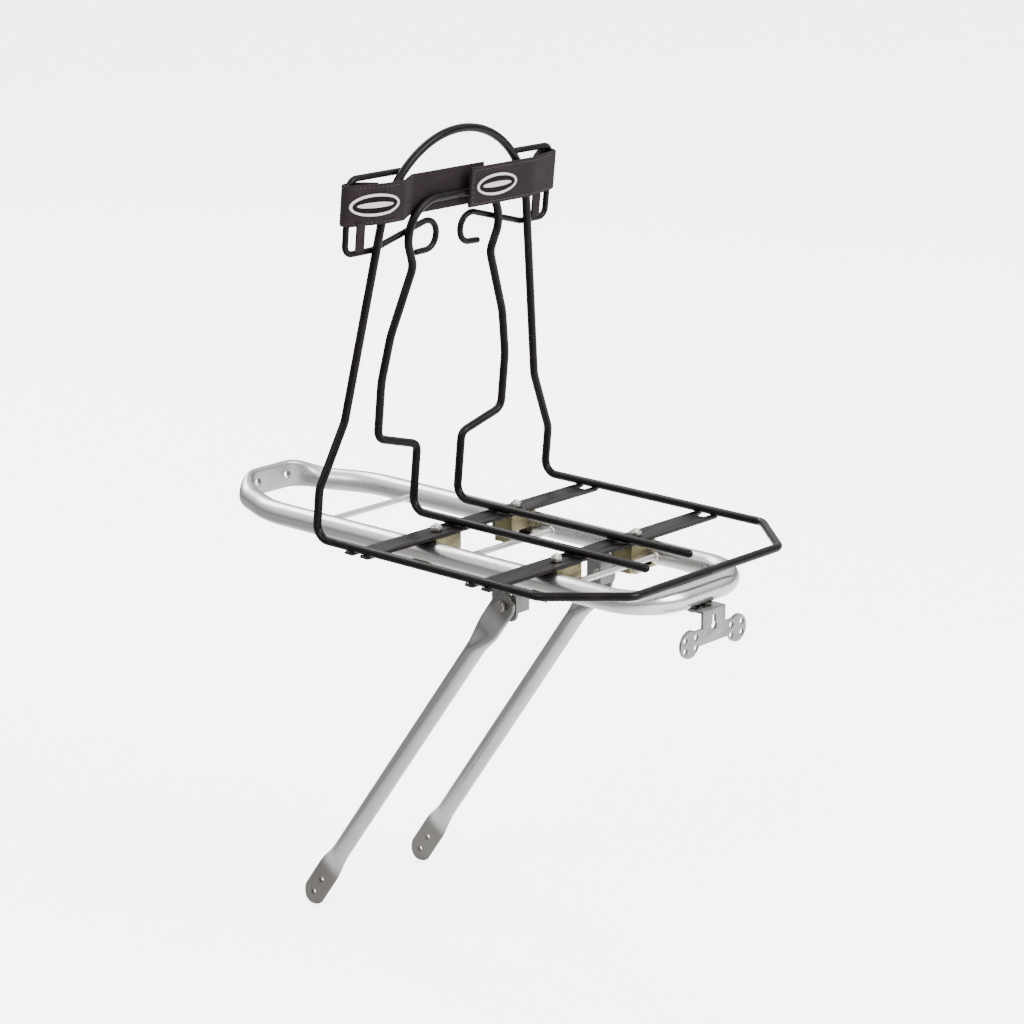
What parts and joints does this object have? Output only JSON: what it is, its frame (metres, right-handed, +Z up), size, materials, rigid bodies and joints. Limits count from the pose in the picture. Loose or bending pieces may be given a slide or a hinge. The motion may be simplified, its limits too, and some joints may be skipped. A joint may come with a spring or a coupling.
{
  "type": "rear rack",
  "caption": "Silver tube bicycle rear carrier with folding support legs and tail lamp bracket, carrying a black wire bag holder with two strap loops",
  "frame": {"origin": "the middle of the forward face of the carrier's flattened front, level with its two bolt holes", "axes": "+X is the bicycle's right, +Y forward, +Z up"},
  "size_m": [0.3264, 0.5685, 0.7779],
  "materials": {
    "silver": "bright satin",
    "fastener": "zinc plated",
    "saddle": "yellow zinc plated",
    "black_wire": "semi-gloss powder coat",
    "black_steel": "satin powder coat",
    "webbing": "woven",
    "badge": "semi-gloss"
  },
  "bodies": {
    "carrier": {"carrier_hoop": "silver", "cross_rod_front": "silver", "cross_rod_middle": "silver", "cross_rod_rear": "silver", "front_crossbar": "black_steel", "front_left_clamp_bolt": "fastener", "front_left_clamp_jaw": "saddle", "front_left_clamp_nut": "fastener", "front_left_clamp_saddle": "saddle", "front_right_clamp_bolt": "fastener", "front_right_clamp_jaw": "saddle", "front_right_clamp_nut": "fastener", "front_right_clamp_saddle": "saddle", "holder_inner_wire": "black_wire", "holder_outer_wire": "black_wire", "lamp_bracket_screw_left": "fastener", "lamp_bracket_screw_right": "fastener", "left_badge": "badge", "left_leg_bracket": "silver", "left_leg_pivot_bolt": "fastener", "left_leg_pivot_nut": "fastener", "left_strap": "webbing", "left_strap_hook": "black_wire", "rear_crossbar": "black_steel", "rear_left_clamp_bolt": "fastener", "rear_left_clamp_jaw": "saddle", "rear_left_clamp_nut": "fastener", "rear_left_clamp_saddle": "saddle", "rear_right_clamp_bolt": "fastener", "rear_right_clamp_jaw": "saddle", "rear_right_clamp_nut": "fastener", "rear_right_clamp_saddle": "saddle", "right_badge": "badge", "right_leg_bracket": "silver", "right_leg_pivot_bolt": "fastener", "right_leg_pivot_nut": "fastener", "right_strap": "webbing", "right_strap_hook": "black_wire", "tail_lamp_bracket": "silver"},
    "left_leg": {"left_leg": "silver"},
    "right_leg": {"right_leg": "silver"}
  },
  "joints": [
    {"name": "left_leg_swing", "type": "hinge", "parent": "carrier", "child": "left_leg", "pos_m": [-0.0706, -0.381, -0.038], "axis": [1, 0, 0], "range_deg": [-35, 40]},
    {"name": "right_leg_swing", "type": "hinge", "parent": "carrier", "child": "right_leg", "pos_m": [0.0706, -0.381, -0.038], "axis": [1, 0, 0], "range_deg": [-35, 40]}
  ]
}
